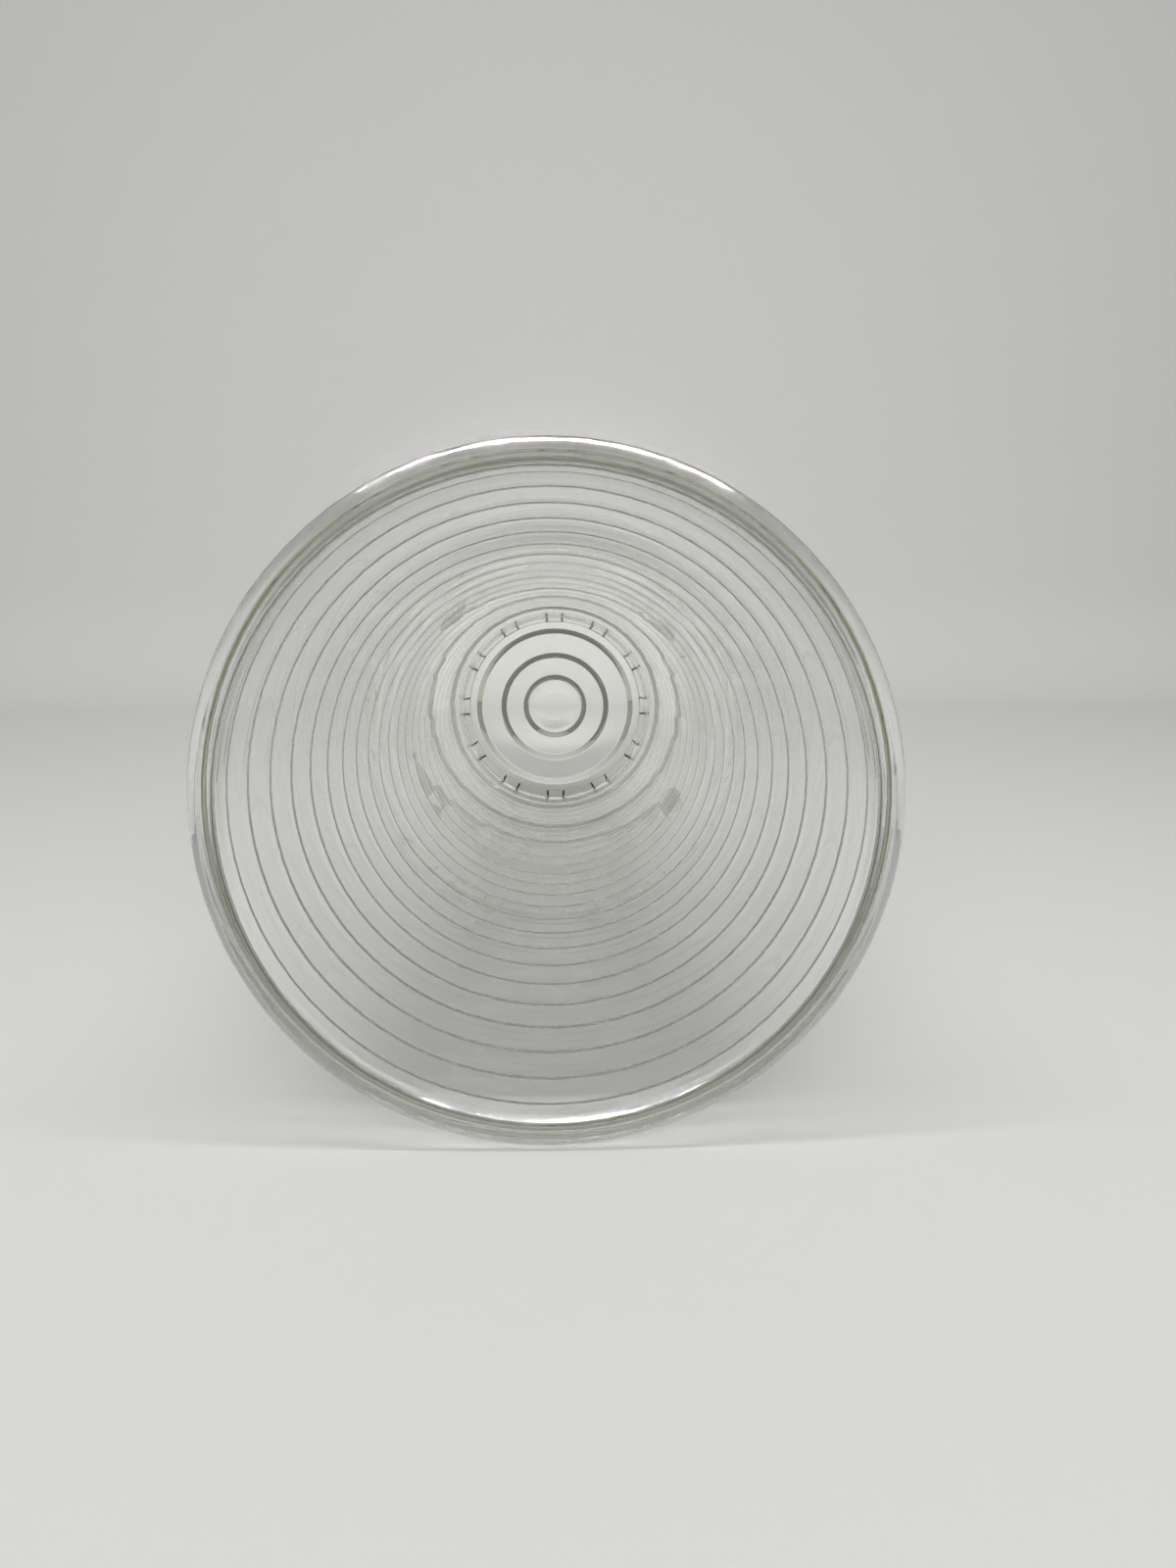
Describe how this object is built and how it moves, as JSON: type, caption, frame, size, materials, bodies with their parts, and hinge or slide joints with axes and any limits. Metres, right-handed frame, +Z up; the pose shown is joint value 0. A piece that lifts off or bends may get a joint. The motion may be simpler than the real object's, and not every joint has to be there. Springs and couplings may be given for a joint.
{
  "type": "trumpet vase",
  "caption": "Clear pressed-glass trumpet vase with ribs round the outside, a beaded rim, a thick stepped base and a vented foot ring.",
  "frame": {"origin": "centre of the foot ring's resting plane", "axes": "+Z up along the axis of revolution, from the foot to the mouth; +X through one of the vents in the foot ring"},
  "size_m": [0.1126, 0.1126, 0.203],
  "materials": {
    "clear_glass": "clear soda-lime glass, fire-polished, faint grey-green in its edges"
  },
  "bodies": {
    "root": {"vase": "clear_glass"}
  },
  "joints": []
}
